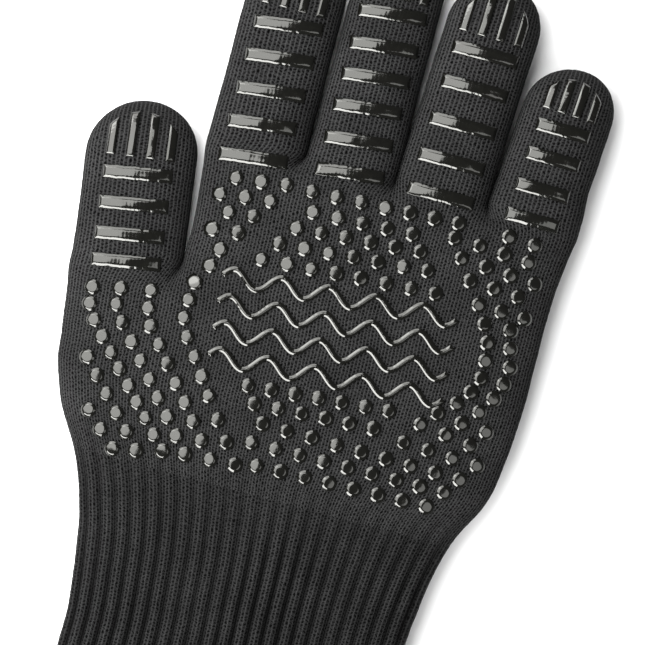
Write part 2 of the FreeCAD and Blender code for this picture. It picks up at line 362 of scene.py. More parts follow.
def palm_row(y):
    """A row between the web and the finger roots, without the thumb."""
    left = np.array((palm_left(y), y))
    right = np.array((hand_right(y), y))
    plain = row_between(left, right, PALM_SECTION, COLUMNS - THUMB_COLUMNS)
    valleys = joined([root_row(name) for name in FOUR_FINGERS]) + (0.0, y - CROTCH_Y, 0.0)
    return mix(plain, valleys, smooth(1.0 - (CROTCH_Y - y) / VALLEY))


def hand_row(y):
    """A row of the palm with the thumb's base, or of the cuff. Its thumb end slants down as it nears
    the web."""
    slant = SLANT * smooth(1.0 - (WEB_Y - y) / SLANT_RUN)
    left = hand_left(y - slant)
    share = smooth((RIB_TOP_Y - y) / CUFF_EASE)
    section = Section(*(mix(a, b, share) for a, b in zip(PALM_SECTION, CUFF_SECTION)))
    bunch = RIB_BUNCH * rib_strength(y)
    right = np.array((hand_right(y), y))
    plain = row_between(np.array((left, y)), right, section, COLUMNS, bunch)
    web_x = plain[:, THUMB_COLUMNS, 0][:, None]
    share = np.clip((web_x - plain[:, :, 0]) / (web_x - left), 0.0, 1.0)
    plain[:, :, 1] -= slant * share
    parted = joined([root_row("thumb"), palm_row(WEB_Y)]) + (0.0, y - WEB_Y, 0.0)
    return mix(plain, parted, smooth(1.0 - (WEB_Y - y) / WEB_VALLEY))


def rib_strength(y):
    return smooth((RIB_TOP_Y - y) / (RIB_TOP_Y - RIB_FULL_Y))


# A patch is a stretch of rows: an array of rows x 2 x columns x 3, the place of each column counted
# in wales, and the place of each row along the knit.
Patch = namedtuple("Patch", "name points wales length")


def plain_wales(first_column, columns, rows):
    """The number of each column, carried on round the back."""
    top = first_column + np.arange(columns + 1, dtype=float)
    return np.tile(np.array((top, 2 * COLUMNS - top)), (rows, 1, 1))


def flat_patch(name, low, high, row_at_height, first_column):
    """The rows across the hand between two heights."""
    rows = row_count(high - low)
    heights = np.linspace(low, high, rows + 1)
    points = np.array([row_at_height(y) for y in heights])
    wales = plain_wales(first_column, COLUMNS - first_column, rows + 1)
    return Patch(name, points, wales, heights - MOUTH_Y)


def root_height(name):
    return WEB_Y if name == "thumb" else CROTCH_Y


def finger_patch(name):
    """A finger from its root row to the end of its round tip. Near the tip the wales keep their width
    and run out at the edge."""
    finger = FINGERS[name]
    columns = finger_columns(name)
    root_left, root_right = root_edges(name)
    root = root_centre(name)
    straight = np.linalg.norm(finger.tip - root)
    rows = [(root_row(name), 1.0, 0.0)]  # each row with its width in wales and its place
    for place in np.linspace(0.0, straight, row_count(straight) + 1)[1:]:
        ease = smooth(place / ROOT_EASE)
        middle = root + finger.along * place
        left = mix(root_left + finger.along * place, middle - finger.across * finger.half, ease)
        right = mix(root_right + finger.along * place, middle + finger.across * finger.half, ease)
        rows.append((row_between(left, right, FINGER_SECTION, columns), 1.0, place))
    full = tube_row(finger.tip, finger.across, finger.half, FINGER_SECTION, columns)[1]
    tip_rows = row_count(finger.half * math.pi / 2.0)
    for turn in np.linspace(0.0, math.pi / 2.0, tip_rows + 1)[1:]:
        middle = finger.tip + finger.along * finger.half * math.sin(turn)
        half = finger.half * max(0.0, math.cos(turn))
        scale = max(0.0, 1.0 - math.sin(turn) ** TIP_POWER) ** (1.0 / TIP_POWER)
        row, width = tube_row(middle, finger.across, half, FINGER_SECTION, columns, scale)
        rows.append((row, width / full, straight + finger.half * turn))
    points, widths, lengths = (np.array(values) for values in zip(*rows))
    first = 0 if name == "thumb" else THUMB_COLUMNS + FOUR_FINGERS.index(name) * FINGER_COLUMNS
    middle_column = first + columns / 2.0
    wales = plain_wales(first, columns, len(rows))
    wales[:, 0] = middle_column + (wales[:, 0] - middle_column) * widths[:, None]
    wales[:, 1] = 2 * COLUMNS - wales[:, 0]
    return Patch(name, points, wales, lengths + root_height(name) - MOUTH_Y)


# ---- The surface as one welded mesh ----
Surface = namedtuple("Surface", "points normals faces uvs patches rows wales")


def weld(points):
    """The distinct points to the nearest micrometre, the first given point at each, and the number of
    each given point among them."""
    keys = np.round(points * 1e6).astype(np.int64)
    _, first, inverse = np.unique(keys, axis=0, return_index=True, return_inverse=True)
    return points[first], first, inverse.reshape(-1)


def build_surface(patches, step):
    """Weld every step-th row and column of the patches into one mesh."""
    points, wales, faces, uvs, names, rows = [], [], [], [], [], []
    for patch in patches:
        grid = patch.points[::step, :, ::step]
        wale = patch.wales[::step, :, ::step]
        course = patch.length[::step] / COURSE
        row_total, _, column_total, _ = grid.shape
        for half in (0, 1):
            base = len(points)
            points.extend(grid[:, half].reshape(-1, 3))
            wales.extend(wale[:, half].reshape(-1))
            for r in range(row_total - 1):
                for c in range(column_total - 1):
                    corners = [(r, c), (r, c + 1), (r + 1, c + 1), (r + 1, c)]
                    if half:
                        corners.reverse()
                    faces.append([base + i * column_total + j for i, j in corners])
                    uvs.append([(wale[i, half, j], course[i]) for i, j in corners])
                    names.append(patch.name)
                    rows.append(r * step)
    points, first, inverse = weld(np.array(points))
    kept_faces, kept_uvs = [], []
    for face, uv in zip(faces, uvs):
        kept = {}
        for corner, place in zip(face, uv):
            kept.setdefault(int(inverse[corner]), place)
        kept_faces.append(list(kept))
        kept_uvs.append(list(kept.values()))
    normals = vertex_normals(points, kept_faces)
    wales = np.array(wales)[first]
    return Surface(points, normals, kept_faces, kept_uvs, np.array(names), np.array(rows), wales)


def vertex_normals(points, faces):
    """Area-weighted normals."""
    quads = np.array([face if len(face) == 4 else face + face[-1:] for face in faces])
    a, b, c, d = (points[quads[:, corner]] for corner in range(4))
    cross = np.cross(c - a, d - b)
    normals = np.zeros_like(points)
    for corner in range(4):
        np.add.at(normals, quads[:, corner], cross)
    return normals / np.linalg.norm(normals, axis=1)[:, None]


def rib_patch(point):
    """The ribs are stretched flatter in some places than in others, down to 0.6 of their height."""
    return 0.6 + 0.4 * smooth(0.5 + 1.2 * waver(point[0] * 34.0, point[1] * 14.0, 3.0))


def rib_shape(surface):
    """For each point, how strong the ribs are there and how deep it is in a groove, both from 0 to 1."""
    strength = np.array([rib_strength(point[1]) * rib_patch(point) for point in surface.points])
    ridge = np.cos(2.0 * math.pi * (surface.wales / RIB_COLUMNS - 0.5))
    return strength, (0.5 - 0.5 * ridge) ** GROOVE_POWER


def unevenness(point):
    place = Vector(point)
    swell = sum(height * noise.noise(place * scale) for height, scale in SWELLS)
    height, scale = LOOSE_YARN
    return swell * smooth((point[2] - SWELL_FROM) / SWELL_FADE) + height * noise.noise(place * scale)


def relief(surface, strength, groove):
    """How far each point stands out of the plain surface."""
    uneven = np.array([unevenness(point) for point in surface.points])
    return RIB_HEIGHT * (RIB_CREST - groove) * strength + uneven


# ---- Pieces of knit ----
# A layer is a surface, the places of its wall's outer and inner face, and how deep in a groove
# between ribs each point lies, or None; the knit's colour darkens by that depth, as painted shade
# in the grooves.
Layer = namedtuple("Layer", "surface outer inner groove")


def wall_piece(name, layer, chosen, material, slot):
    """A closed wall between the two faces of a layer, over the chosen faces of its surface."""
    surface = layer.surface
    picked = np.flatnonzero(chosen)
    used = np.unique(np.concatenate([surface.faces[i] for i in picked]))
    local = {int(v): k for k, v in enumerate(used)}
    count = len(used)
    faces = []
    corners = []
    sides = {}
    for i in picked:
        face = [local[v] for v in surface.faces[i]]
        uv = surface.uvs[i]
        faces.append(face)
        corners.extend(uv)
        faces.append([v + count for v in reversed(face)])
        corners.extend(reversed(uv))
        for k in range(len(face)):
            a, b = face[k], face[(k + 1) % len(face)]
            if (b, a) in sides:
                del sides[(b, a)]
            else:
                sides[(a, b)] = (uv[k], uv[(k + 1) % len(face)])
    for (a, b), (uv_a, uv_b) in sides.items():
        faces.append([b, a, a + count, b + count])
        corners.extend((uv_b, uv_a, uv_a, uv_b))
    points = np.concatenate((layer.outer[used], layer.inner[used]))
    piece = mesh_object(name, points, faces, material)
    stitches = piece.data.uv_layers.new(name="stitches")
    stitches.data.foreach_set("uv", np.array(corners, np.float32).reshape(-1))
    rim = {tuple(sorted(pair)) for pair in sides}
    rim |= {tuple(sorted((a + count, b + count))) for a, b in sides}
    for edge in piece.data.edges:
        edge.use_edge_sharp = tuple(sorted(edge.vertices)) in rim
    # The groove depth goes to the material as an attribute, which paints shade into the grooves.
    if layer.groove is not None:
        depth = piece.data.attributes.new("groove", "FLOAT", "POINT")
        depth.data.foreach_set("value", np.tile(layer.groove[used], 2).astype(np.float32))
    return piece


def mesh_object(name, points, faces, material):
    mesh = bpy.data.meshes.new(name)
    mesh.from_pydata([tuple(p) for p in points], [], faces)
    mesh.shade_smooth()
    mesh.materials.append(material)
    mesh.update()
    piece = in_scene(name, mesh)
    return piece


def in_scene(name, data):
    """A new object in the scene."""
    thing = bpy.data.objects.new(name, data)
    bpy.context.scene.collection.objects.link(thing)
    return thing


# ---- Bends ----
def finger_zones(name):
    """For each of a finger's two hinges: the two bodies, and where the bend starts and ends."""
    finger = FINGERS[name]
    square = np.array((-finger.across[1], finger.across[0]))
    bodies = ("palm", f"{name}_lower", f"{name}_tip")
    zones = []
    for index, hinge in enumerate(finger.hinges):
        before, after = -FINGER_BEND, FINGER_BEND
        if name == "thumb" and index == 0:
            before, after = THUMB_BASE_BEND
        start = (*(hinge + square * before), 0.0)
        end = (*(hinge + square * after), 0.0)
        zones.append((bodies[index], bodies[index + 1], start, end))
    return zones


def bend(piece):
    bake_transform(piece)


def split_place(name):
    """How far along its centre line a finger's first bend ends and its second can begin, from the
    root row."""
    finger = FINGERS[name]
    zones = finger_zones(name)
    first_end = plane_point(zones[0][3])
    second_start = plane_point(zones[1][2])
    return float(((first_end + second_start) / 2.0 - root_centre(name)) @ finger.along)


def split_row(patch):
    """The row of a finger's patch where its two pieces meet, as a multiple of ROW_GROUP."""
    return row_at(patch, root_height(patch.name) + split_place(patch.name))


def row_at(patch, y):
    """The row of a patch at a place along the knit, where the patch starts at its own y."""
    row = int(np.abs(patch.length + MOUTH_Y - y).argmin())
    return ROW_GROUP * round(row / ROW_GROUP)


# The CAD nodes that the pieces of one layer stand for.
LayerNodes = namedtuple("LayerNodes", "palm cuff lower tip")
KNIT_NODES = LayerNodes("palm_knit_shell", "cuff_rib_knit", "{}_lower_knit", "{}_tip_knit")
LINER_NODES = LayerNodes("palm_liner", "cuff_liner", "{}_lower_liner", "{}_tip_liner")


def knit_layer(patches, layer, jersey, rib, kind, nodes):
    """All pieces of one layer. jersey and rib are each a material and its slot, and kind names the
    pieces. The slot is not used."""
    surface = layer.surface
    by_name = {patch.name: patch for patch in patches}
    wrist = row_at(by_name["hand"], CUFF_SPLIT_Y)
    hem = row_at(by_name["hand"], HEM_Y)
    in_hand = surface.patches == "hand"

    chosen = (in_hand & (surface.rows >= wrist)) | (surface.patches == "palm")
    palm = wall_piece(f"palm_{kind}", layer, chosen, *jersey)
    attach(palm, "palm")
    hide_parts(nodes.palm)

    chosen = in_hand & (surface.rows < wrist) & (surface.rows >= hem)
    cuff = wall_piece(f"cuff_{kind}", layer, chosen, *rib)
    bend(cuff)
    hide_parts(nodes.cuff)

    for name in FINGER_NAMES:
        in_finger = surface.patches == name
        split = split_row(by_name[name])
        lower = nodes.lower.format(name)
        halves = (
            ("root", in_finger & (surface.rows < split), (lower,)),
            ("tip", in_finger & (surface.rows >= split), (lower, nodes.tip.format(name))),
        )
        for (part, chosen, replaced), zone in zip(halves, finger_zones(name)):
            piece = wall_piece(f"{name}_{part}_{kind}", layer, chosen, *jersey)
            bend(piece)
            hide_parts(*replaced)


# ---- Silicone ----
Island = namedtuple("Island", "centre long side half_length half_width")


def solids(node):
    """The separate solids of a CAD node, each as its points in the plane, in the order of their places
    to 0.1 mm."""
    points, _, number = weld(node_points(node))
    parent = list(range(len(points)))

    def root_of(i):
        while parent[i] != i:
            parent[i] = parent[parent[i]]
            i = parent[i]
        return i

    for a, b in node_edges(node):
        parent[root_of(number[a])] = root_of(number[b])
    groups = {}
    for i in range(len(points)):
        groups.setdefault(root_of(i), []).append(i)
    found = [points[members][:, :2] for members in groups.values()]
    return sorted(found, key=lambda flat: tuple(np.round(flat.min(axis=0)[::-1], 4)))


def islands(node):
    """The separate solids of a CAD node, each with its centre, directions and half sizes in the plane.
    A long one's directions are its own. A round one has none, so its box gives its centre."""
    found = []
    for flat in solids(node):
        _, directions = np.linalg.eigh(np.cov((flat - flat.mean(axis=0)).T))
        long = directions[:, 1]
        if long[0] < 0.0:
            long = -long
        side = np.array((-long[1], long[0]))
        along = flat @ long
        across = flat @ side
        centre = long * (along.max() + along.min()) / 2.0 + side * (across.max() + across.min()) / 2.0
        if np.ptp(along) < 1.5 * np.ptp(across):
            centre = (flat.max(axis=0) + flat.min(axis=0)) / 2.0
        found.append(Island(centre, long, side, np.ptp(along) / 2.0, np.ptp(across) / 2.0))
    return found


class Ground:
    """The grip side of the knit, to lay silicone on. Rays fall on it from over the whole glove."""

    ray_start = 0.05

    def __init__(self, surface, points):
        self.tree = BVHTree.FromPolygons([Vector(p) for p in points], surface.faces)

    def height(self, x, y):
        hit = self.tree.ray_cast(Vector((x, y, self.ray_start)), Vector((0.0, 0.0, -1.0)))
        return hit[0].z if hit[0] is not None else PALM_SECTION.side

    def smooth_height(self, x, y):
        """The height averaged over a small cross, so that silicone bridges the fine unevenness."""
        places = ((0.0, 0.0), (BRIDGE, 0.0), (-BRIDGE, 0.0), (0.0, BRIDGE), (0.0, -BRIDGE))
        return sum(self.height(x + a, y + b) for a, b in places) / len(places)


def add_blanket(points, faces, ground, along, across, shape):
    """Add a closed sheet of silicone that lies on the knit. shape says where a place of the sheet,
    given along and across it, lies in the plane, and how high its top stands over the knit."""
    base = len(points)
    top, underside = [], []
    for place_along in along:
        for place_across in across:
            (x, y), rise = shape(place_along, place_across)
            sunk = ground.smooth_height(x, y) - SINK
            top.append((x, y, sunk + rise))
            underside.append((x, y, sunk - UNDERSIDE))
    points.extend(top + underside)
    count = len(top)
    numbers = base + np.arange(count).reshape(len(along), len(across))
    corners = (numbers[:-1, :-1], numbers[1:, :-1], numbers[1:, 1:], numbers[:-1, 1:])
    for a, b, c, d in np.stack(corners, axis=-1).reshape(-1, 4).tolist():
        faces.append([a, b, c, d])
        faces.append([a + count, d + count, c + count, b + count])
    loop = (numbers[0], numbers[1:, -1], numbers[-1, -2::-1], numbers[-2:0:-1, 0])
    loop = np.concatenate(loop).tolist()
    for a, b in zip(loop, loop[1:] + loop[:1]):
        faces.append([a, b, count + b, count + a])


def steps_over(half, profile):
    """Places from -half to half: even steps, and closer over the rising edges."""
    edge = min(half, profile.side + profile.bevel + profile.curve)
    turns = np.linspace(0.0, math.pi / 2.0, EDGE_STEPS + 1)[:-1]
    near = -half + edge * (1.0 - np.cos(turns))
    flat = half - edge
    inner = np.linspace(-flat, flat, max(3, round(2.0 * flat / BAR_STEP) + 1))
    return np.concatenate((near, inner, -near[::-1]))


def silicone_rise(distance, profile):
    """How high silicone stands over its sunken foot at a distance from its outline."""
    height = profile.height + SINK
    inner = profile.side + profile.bevel
    full = inner + profile.curve
    distance = min(max(distance, 0.0), full)
    if distance > inner:
        return height - profile.slope * (full - distance) ** 2 / (2.0 * profile.curve)
    shoulder = height - profile.slope * (profile.curve / 2.0 + profile.bevel)
    if distance > profile.side:
        return shoulder + profile.slope * (distance - profile.side)
    return shoulder * math.sqrt(1.0 - (1.0 - distance / profile.side) ** 2)


def bar_top(along, across, seed):
    """How uneven a bar's top is: ripples where the wales show through, in patches, on a slow
    unevenness."""
    patch = 0.5 + 0.5 * waver(along * 150.0, across * 90.0, seed * 3.1)
    shift = 2.0 * waver(along * 90.0, across * 300.0, seed)
    ripple = RIPPLE * patch * math.cos(2.0 * math.pi * along / RIPPLE_PITCH + shift)
    return ripple + UNEVEN * waver(along * 230.0, across * 260.0, seed * 1.7 + 9.0)


def add_bar(points, faces, ground, island):
    """A bar with a slightly uneven top, ragged long edges and rounded rims."""
    seed = island.centre[1] * SEED_SCALE

    def shape(a, w):
        ragged = 1.0
        for number, (size, scale) in enumerate(BAR_RAGGED):
            ragged += size * waver(a * scale, seed, 5.0 * number)
        inside = min(island.half_width - abs(w), island.half_length - abs(a))
        rise = silicone_rise(inside, BAR) + bar_top(a, w, seed)
        return island.centre + island.long * a + island.side * w * ragged, rise

    along = steps_over(island.half_length, BAR)
    add_blanket(points, faces, ground, along, steps_over(island.half_width, BAR), shape)


def add_tip_rib(points, faces, ground, finger, flat_points, circle):
    """A rib along a fingertip, as wide as its CAD solid. It ends on a circle round the tip's centre,
    which slants the ends of the outer ribs."""
    square = np.array((finger.along[1], -finger.along[0]))
    seed = flat_points[0, 0] * SEED_SCALE
    places = flat_points - finger.tip
    half_width = np.ptp(places @ square) / 2.0
    middle = (places @ square).min() + half_width
    low = (places @ finger.along).min()
    longest = (circle - low) / 2.0

    def shape(a, w):
        half_length = (math.sqrt(circle ** 2 - (middle + w) ** 2) - low) / 2.0
        a = a * half_length / longest
        inside = min(half_width - abs(w), half_length - abs(a))
        rise = silicone_rise(inside, TIP_RIB) + bar_top(a, w, seed)
        return finger.tip + square * (middle + w) + finger.along * (a + low + half_length), rise

    along = steps_over(longest, TIP_RIB)
    add_blanket(points, faces, ground, along, steps_over(half_width, TIP_RIB), shape)


def add_wave(points, faces, ground, island):
    """A wave rib: a narrow ribbon with a rounded top along a sine."""
    seed = island.centre[1] * SEED_SCALE
    half_period = 2.0 * island.half_length / WAVE_HALF_PERIODS
    amplitude = island.half_width - WAVE_WIDTH / 2.0

    def shape(a, w):
        turn = math.pi * (a + island.half_length) / half_period
        line = island.centre + island.long * a + island.side * amplitude * math.sin(turn)
        slope = amplitude * math.pi / half_period * math.cos(turn)
        inside = min(WAVE_WIDTH / 2.0 - abs(w), island.half_length - abs(a))
        rise = silicone_rise(inside, WAVE) + bar_top(a, w, seed)
        return line + unit(island.side - island.long * slope) * w, rise

    steps = WAVE_STEPS * WAVE_HALF_PERIODS
    along = np.linspace(-island.half_length, island.half_length, steps + 1)
    add_blanket(points, faces, ground, along, steps_over(WAVE_WIDTH / 2.0, WAVE), shape)


def dot_slopes(ground, x, y, radius, draw):
    """The slopes of the knit under a dot, with the palm's bulge and a little tilt at random."""
    slope_x = ground.smooth_height(x + radius, y) - ground.smooth_height(x - radius, y)
    slope_y = ground.smooth_height(x, y + radius) - ground.smooth_height(x, y - radius)
    lean = DOT_LEAN * max(-1.0, min(1.0, (x - CROWN_X) / CROWN_REACH))
    tilt_x = draw.gauss(0.0, DOT_TILT)
    tilt_y = draw.gauss(0.0, DOT_TILT)
    return slope_x / (2.0 * radius) - lean + tilt_x, slope_y / (2.0 * radius) + tilt_y


def add_dot(points, faces, ground, island, draw):
    """A low round dome with a nearly flat top."""
    x, y = island.centre
    radius = island.half_length * draw.uniform(*DOT_GROWTH)
    slope_x, slope_y = dot_slopes(ground, x, y, radius, draw)
    middle = ground.smooth_height(x, y)
    seed = draw.uniform(0.0, 50.0)
    base = len(points)
    points.append((x, y, middle + DOT.height))
    for ring in range(1, DOT_RINGS + 1):
        share = math.sin(math.pi / 2.0 * ring / DOT_RINGS)
        lift = silicone_rise(radius * (1.0 - share), DOT) - SINK - DOT_DOME * share ** 2
        for k in range(DOT_SIDES):
            turn = 2.0 * math.pi * k / DOT_SIDES
            out = radius * share * (1.0 + DOT_RAGGED * waver(math.cos(turn), math.sin(turn), seed))
            a = out * math.cos(turn)
            b = out * math.sin(turn)
            uneven = DOT_UNEVEN * waver(a * 420.0, b * 420.0, seed) * (1.0 - share)
            points.append((x + a, y + b, middle + a * slope_x + b * slope_y + lift + uneven))
    rim = base + 1 + (DOT_RINGS - 1) * DOT_SIDES
    for px, py, pz in points[rim:]:
        points.append((px, py, pz - UNDERSIDE))
    points.append((x, y, middle - SINK - UNDERSIDE))
    for k in range(DOT_SIDES):
        after = (k + 1) % DOT_SIDES
        faces.append([base, base + 1 + k, base + 1 + after])
        for ring in range(DOT_RINGS):
            a = base + 1 + ring * DOT_SIDES
            faces.append([a + k, a + DOT_SIDES + k, a + DOT_SIDES + after, a + after])
        faces.append([rim + DOT_SIDES + k, len(points) - 1, rim + DOT_SIDES + after])


def silicone_piece(name, node, points, faces, material):
    piece = mesh_object(name, points, faces, material)
    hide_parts(node)
    return piece


def finger_silicone(name, ground, material):
    """A finger's bars, one piece for each CAD node and bend, and its tip ribs."""
    finger = FINGERS[name]
    split = split_place(name)
    for part in ("root", "lower", "tip"):
        node = f"{name}_{part}_bars"
        if node not in frame["nodes"]:
            continue
        built = {}
        for island in islands(node):
            zone = int((island.centre - root_centre(name)) @ finger.along > split)
            points, faces = built.setdefault(zone, ([], []))
            add_bar(points, faces, ground, island)
        for zone, (points, faces) in built.items():
            piece = silicone_piece(f"{name}_{part}_grips_{zone + 1}", node, points, faces, material)
            bend(piece)
    points, faces = [], []
    node = f"{name}_tip_ribs"
    circle = np.linalg.norm(node_points(node)[:, :2] - finger.tip, axis=1).max()
    for flat_points in solids(node):
        add_tip_rib(points, faces, ground, finger, flat_points, circle)
    bend(silicone_piece(f"{name}_tip_grips", node, points, faces, material))


def palm_silicone(ground, material):
    """The dots and the wave ribs."""
    draw = random.Random(DOT_SEED)
    for node in sorted(name for name in frame["nodes"] if name.startswith("dots_")):
        points, faces = [], []
        for island in islands(node):
            add_dot(points, faces, ground, island, draw)
        piece = silicone_piece(node.replace("dots", "grip_dots"), node, points, faces, material)
        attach(piece, "palm")
    points, faces = [], []
    for island in islands("grip_wave_ribs"):
        add_wave(points, faces, ground, island)
    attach(silicone_piece("wave_grips", "grip_wave_ribs", points, faces, material), "palm")


# ---- The mouth of the cuff ----
def hem_band(hand, layer, material):
    """The thick edge where the knit and the liner are sewn together."""
    chosen = (layer.surface.patches == "hand") & (layer.surface.rows < row_at(hand, HEM_Y))
    band = wall_piece("cuff_hem_band", layer, chosen, material, "rib_knit")
    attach(band, "cuff")
    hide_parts("cuff_hem")


def overlock(hand, inner_drop, material):
    """Loops of thread over the mouth's edge, in one piece: each runs up the outside, over the edge and
    up inside."""
    row = hand.points[0]
    ring = np.concatenate((row[0], row[1][-2:0:-1]))
    centre = ring.mean(axis=0)
    points, faces = [], []
    for here, ahead in zip(ring, np.roll(ring, -1, axis=0)):
        out = np.cross(unit(ahead - here), np.array((0.0, 1.0, 0.0)))
        out = unit(out * np.sign(out @ (here - centre)))
        path = []
        for share in np.linspace(0.0, 1.0, STITCH_POINTS):
            depth = STITCH_DEPTH * abs(math.cos(math.pi * share)) ** STITCH_SQUARENESS - THREAD_LIFT
            level = mix(THREAD_LIFT, -inner_drop, smooth(share))
            slant = (ahead - here) * STITCH_SLANT * share
            place = here + out * level + np.array((0.0, depth, 0.0)) + slant
            place[2] = max(place[2], THREAD_RADIUS)  # the floor presses the lowest loops flat
            path.append(place)
        add_tube(points, faces, path, THREAD_RADIUS, THREAD_SIDES)
    piece = mesh_object("cuff_overlock_stitches", points, faces, material)
    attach(piece, "cuff")
    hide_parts("cuff_hem")


def add_tube(points, faces, path, radius, sides):
    """A closed tube along a path. No path here runs along the aid."""
    aid = np.array((0.31, 0.17, 0.94))
    base = len(points)
    for i, here in enumerate(path):
        run = unit(path[min(i + 1, len(path) - 1)] - path[max(i - 1, 0)])
        first = unit(np.cross(run, aid))
        second = np.cross(run, first)
        for k in range(sides):
            turn = 2.0 * math.pi * k / sides
            points.append(tuple(here + radius * (math.cos(turn) * first + math.sin(turn) * second)))
    for i in range(len(path) - 1):
        for k in range(sides):
            a = base + i * sides + k
            b = base + i * sides + (k + 1) % sides
            faces.append([a, b, b + sides, a + sides])
    last = base + (len(path) - 1) * sides
    faces.append(list(range(base + sides - 1, base - 1, -1)))
    faces.append(list(range(last, last + sides)))


# ---- Materials ----
class Tree:
    """A material's nodes, with short calls for the kinds used here. Every value can be a number, a
    colour or another node's output."""

    def __init__(self, name):
        self.material = bpy.data.materials.new(name)
        self.material.use_nodes = True
        self.nodes = self.material.node_tree.nodes
        self.links = self.material.node_tree.links
        self.shader = self.nodes["Principled BSDF"]

    def put(self, socket, value):
        if isinstance(value, bpy.types.NodeSocket):
            self.links.new(value, socket)
        else:
            socket.default_value = value

    def set(self, name, value):
        self.put(self.shader.inputs[name], value)

    def math(self, operation, a, b=0.0):
        node = self.nodes.new("ShaderNodeMath")
        node.operation = operation
        self.put(node.inputs[0], a)
        self.put(node.inputs[1], b)
        return node.outputs[0]

    def plus(self, a, b):
        return self.math("ADD", a, b)

    def minus(self, a, b):
        return self.math("SUBTRACT", a, b)

    def times(self, a, b):
        return self.math("MULTIPLY", a, b)

    def ramp(self, factor, stops):
        """A smooth curve through (place, value) stops."""
        node = self.nodes.new("ShaderNodeValToRGB")
        node.color_ramp.interpolation = "EASE"
        marks = node.color_ramp.elements
        while len(marks) < len(stops):
            marks.new(0.5)
        for mark, (place, value) in zip(marks, stops):
            mark.position = place
            mark.color = (value, value, value, 1.0)
        self.put(node.inputs[0], factor)
        return node.outputs[0]

    def noise(self, scale, detail=2.0):
        node = self.nodes.new("ShaderNodeTexNoise")
        place = self.nodes.new("ShaderNodeTexCoord")
        self.put(node.inputs["Vector"], place.outputs["Object"])
        self.put(node.inputs["Scale"], scale)
        self.put(node.inputs["Detail"], detail)
        return node.outputs["Fac"]

    def colour(self, factor, dark, light):
        """The base colour, between two colours."""
        node = self.nodes.new("ShaderNodeMix")
        node.data_type = "RGBA"
        self.put(node.inputs["Factor"], factor)
        self.put(node.inputs["A"], (*dark, 1.0))
        self.put(node.inputs["B"], (*light, 1.0))
        self.set("Base Color", node.outputs["Result"])

    def bump(self, height, distance, strength):
        node = self.nodes.new("ShaderNodeBump")
        self.put(node.inputs["Distance"], distance)
        self.put(node.inputs["Strength"], strength)
        self.put(node.inputs["Height"], height)
        self.set("Normal", node.outputs[0])


def grey(value):
    return value, value, value


def knit_material(name, dark, light, stitch_size=1.0):
    """Plain knit: columns of yarn with holes between them, staggered from column to column, and fuzzy
    yarn. The holes and the furrows between the columns are painted dark, as painted shade in these
    recesses, and the groove attribute paints shade into the grooves between the ribs. Stitches are a
    wale wide and a course high, and noise moves them sideways (sway) and along their column (slip)."""
    tree = Tree(name)
    stitches = tree.nodes.new("ShaderNodeUVMap")
    stitches.uv_map = "stitches"
    place = tree.nodes.new("ShaderNodeSeparateXYZ")
    tree.put(place.inputs[0], stitches.outputs[0])
    sway = tree.times(tree.minus(tree.noise(330.0), 0.5), 0.35)
    slip = tree.times(tree.minus(tree.noise(560.0), 0.5), 2.2)
    wale = tree.plus(tree.math("DIVIDE", place.outputs[0], stitch_size), sway)
    course = tree.plus(place.outputs[1], slip)
    column = tree.math("COSINE", tree.times(wale, math.pi))
    row = tree.math("COSINE", tree.times(course, 2.0 * math.pi))
    hole = tree.math("MAXIMUM", tree.times(column, row), 0.0)
    furrow = tree.math("POWER", tree.math("ABSOLUTE", column), 0.9)
    fuzz = tree.minus(0.5, tree.noise(1900.0, 3.0))
    depth = tree.plus(tree.times(hole, 0.55), tree.times(furrow, 0.45))
    depth = tree.plus(depth, tree.times(fuzz, 0.9))
    # Painted shade: the colour falls to dark in the holes and the furrows between the columns.
    yarn = tree.ramp(depth, ((0.1, 1.0), (0.47, 0.38), (0.85, 0.0)))
    patchy = tree.ramp(tree.noise(60.0, 4.0), ((0.3, 0.75), (0.7, 1.0)))
    # Painted shade: the groove attribute darkens the colour in the grooves between the ribs.
    groove = tree.nodes.new("ShaderNodeAttribute")
    groove.attribute_name = "groove"
    shade = tree.times(tree.times(yarn, patchy), tree.minus(1.0, groove.outputs["Fac"]))
    tree.colour(shade, grey(dark), grey(light))
    tree.set("Roughness", 0.9)
    tree.set("Sheen Weight", 0.008)
    tree.set("Sheen Roughness", 0.5)
    tree.set("Specular IOR Level", 0.03)
    tree.bump(tree.minus(1.0, depth), 0.0004, 0.7)
    return tree.material


def silicone_material():
    """Glossy near-black silicone with slight dust, scuffs and a skin that isn't quite flat."""
    tree = Tree("silicone_gloss")
    dust = tree.noise(700.0, 4.0)
    scuff = tree.noise(140.0, 3.0)
    tree.colour(dust, (0.0015, 0.0015, 0.0013), (0.004, 0.004, 0.003))
    worn = tree.plus(tree.times(scuff, 0.08), tree.times(dust, 0.06))
    tree.set("Roughness", tree.plus(worn, 0.04))
    tree.set("IOR", 1.55)
    tree.set("Specular Tint", (1.0, 1.0, 0.95, 1.0))
    tree.bump(tree.plus(scuff, tree.times(dust, 0.2)), 0.00014, 0.6)
    return tree.material


def thread_material():
    """Twisted polyester thread."""
    tree = Tree("overlock_thread")
    twist = tree.noise(5200.0)
    tree.colour(twist, (0.012, 0.012, 0.013), grey(0.07))
    tree.set("Roughness", 0.6)
    tree.set("Sheen Weight", 0.2)
    tree.bump(twist, 0.0001, 0.7)
    return tree.material


def floor_material():
    tree = Tree("pale_floor")
    tree.colour(tree.noise(30.0), grey(0.84), grey(0.87))
    tree.set("Roughness", 0.95)
    tree.set("Specular IOR Level", 0.1)
    return tree.material


# ---- Floor, light and camera ----
VIEW_CENTRE = Vector((0.0074, 0.0264, 0.017))  # the middle of the picture
VIEW_WIDTH = 0.215
VIEW_TURN = math.radians(15.0)  # the fingers point this far to the right of the picture's top
VIEW_HEIGHT = 1.25
SENSOR = 36.0
FLOOR_REACH = 3.0

